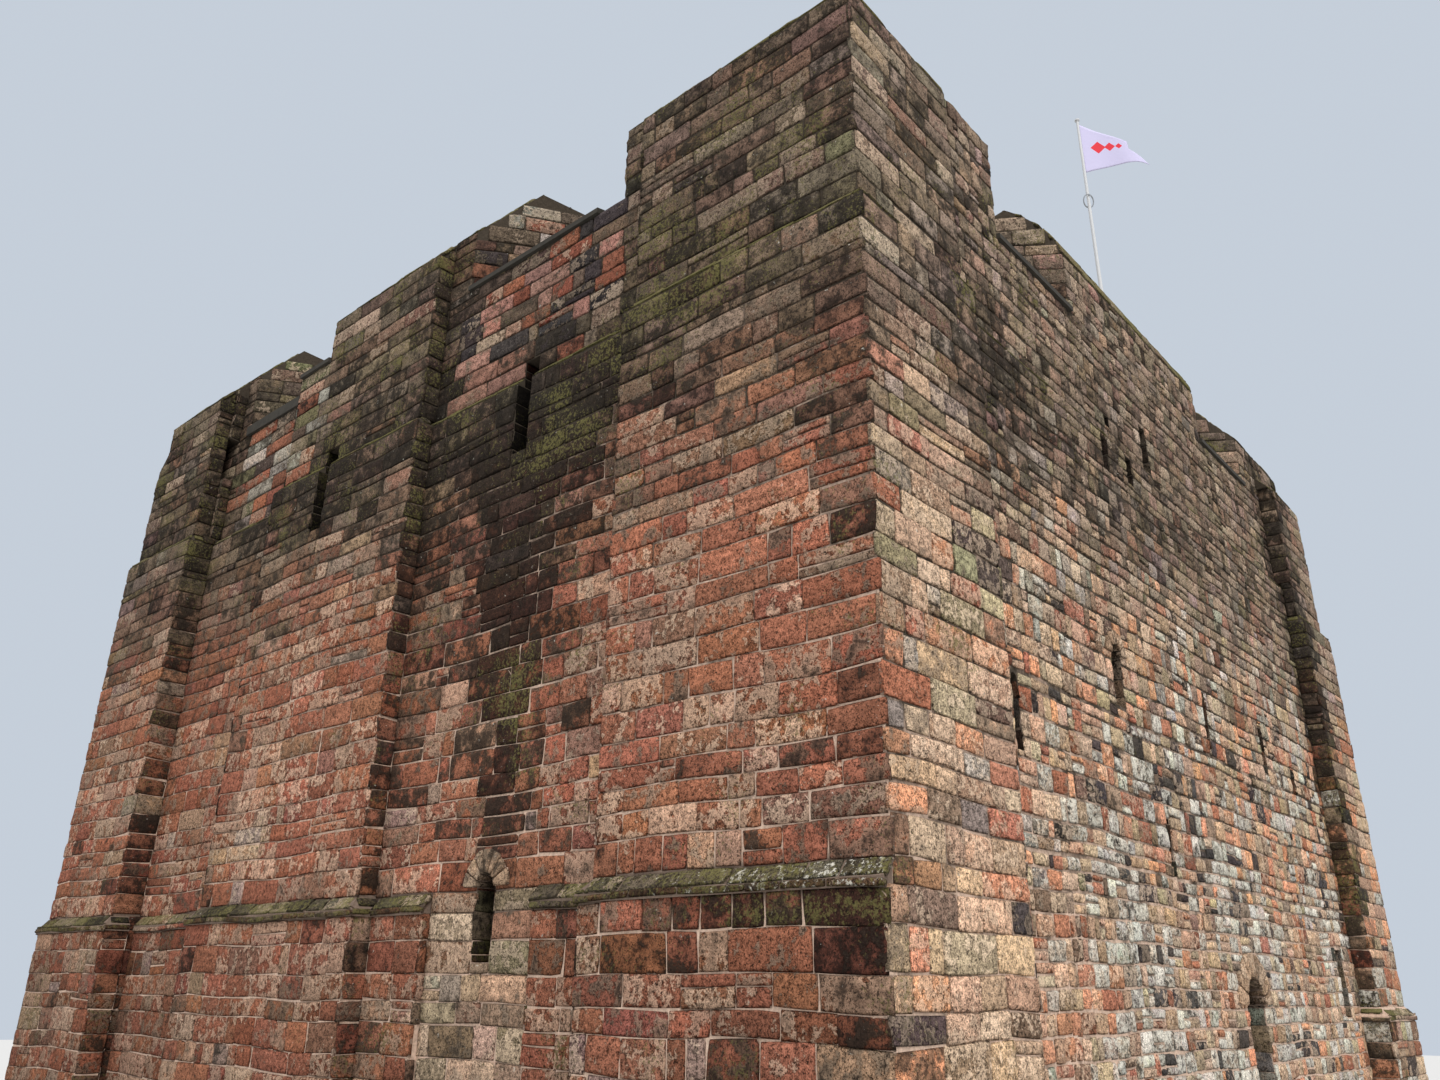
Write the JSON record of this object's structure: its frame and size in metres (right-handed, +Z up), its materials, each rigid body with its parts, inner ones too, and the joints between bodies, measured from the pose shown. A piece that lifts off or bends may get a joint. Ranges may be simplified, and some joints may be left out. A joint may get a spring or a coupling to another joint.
{
  "type": "castle keep",
  "caption": "Square stone castle keep with clasping corner buttresses, narrow windows, splayed gun embrasures and a roof flagpole.",
  "frame": {"origin": "middle of the plan at ground level", "axes": "+Z up; the front (picture's right-hand face) looks along -Y and the left face (picture's left-hand face) along -X"},
  "size_m": [20.57, 20.72, 28.3],
  "materials": {
    "wall_stone": "rough squared red sandstone in lime mortar, weathered",
    "buttress_stone": "rough red sandstone ashlar with spalled edges",
    "parapet_stone": "dark weathered sandstone with moss and thin joints",
    "sill_stone": "dark stone slabs with lichen",
    "socket_stone": "dressed grey stone",
    "floor_flags": "worn paving flags",
    "roof_flags": "weathered roof flags",
    "floor_timber": "dark oak boards",
    "pole_paint": "white paint, slightly dulled",
    "ring_metal": "dull steel",
    "flag_cloth": "thin pale lilac cloth"
  },
  "bodies": {
    "root": {"back_left_buttress": "buttress_stone", "back_left_turret": "parapet_stone", "back_lower_wall": "wall_stone", "back_merlon": "parapet_stone", "back_middle_wall": "wall_stone", "back_parapet": "parapet_stone", "back_right_buttress": "buttress_stone", "back_right_turret": "parapet_stone", "back_sills": "sill_stone", "back_upper_wall": "wall_stone", "first_floor": "floor_timber", "flag": "flag_cloth", "flagpole": "pole_paint", "front_left_buttress": "buttress_stone", "front_left_turret": "parapet_stone", "front_lower_wall": "wall_stone", "front_merlon": "parapet_stone", "front_middle_wall": "wall_stone", "front_parapet": "parapet_stone", "front_right_buttress": "buttress_stone", "front_right_turret": "parapet_stone", "front_sills": "sill_stone", "front_upper_wall": "wall_stone", "ground_floor": "floor_flags", "halyard_ring": "ring_metal", "left_lower_stage": "buttress_stone", "left_lower_wall": "wall_stone", "left_middle_buttress": "buttress_stone", "left_middle_turret": "parapet_stone", "left_middle_wall": "wall_stone", "left_parapet": "parapet_stone", "left_sills": "sill_stone", "left_upper_wall": "wall_stone", "pole_socket": "socket_stone", "right_lower_stage": "buttress_stone", "right_lower_wall": "wall_stone", "right_middle_buttress": "buttress_stone", "right_middle_turret": "parapet_stone", "right_middle_wall": "wall_stone", "right_parapet": "parapet_stone", "right_sills": "sill_stone", "right_upper_wall": "wall_stone", "roof_deck": "roof_flags", "second_floor": "floor_timber", "third_floor": "floor_timber"}
  },
  "joints": []
}
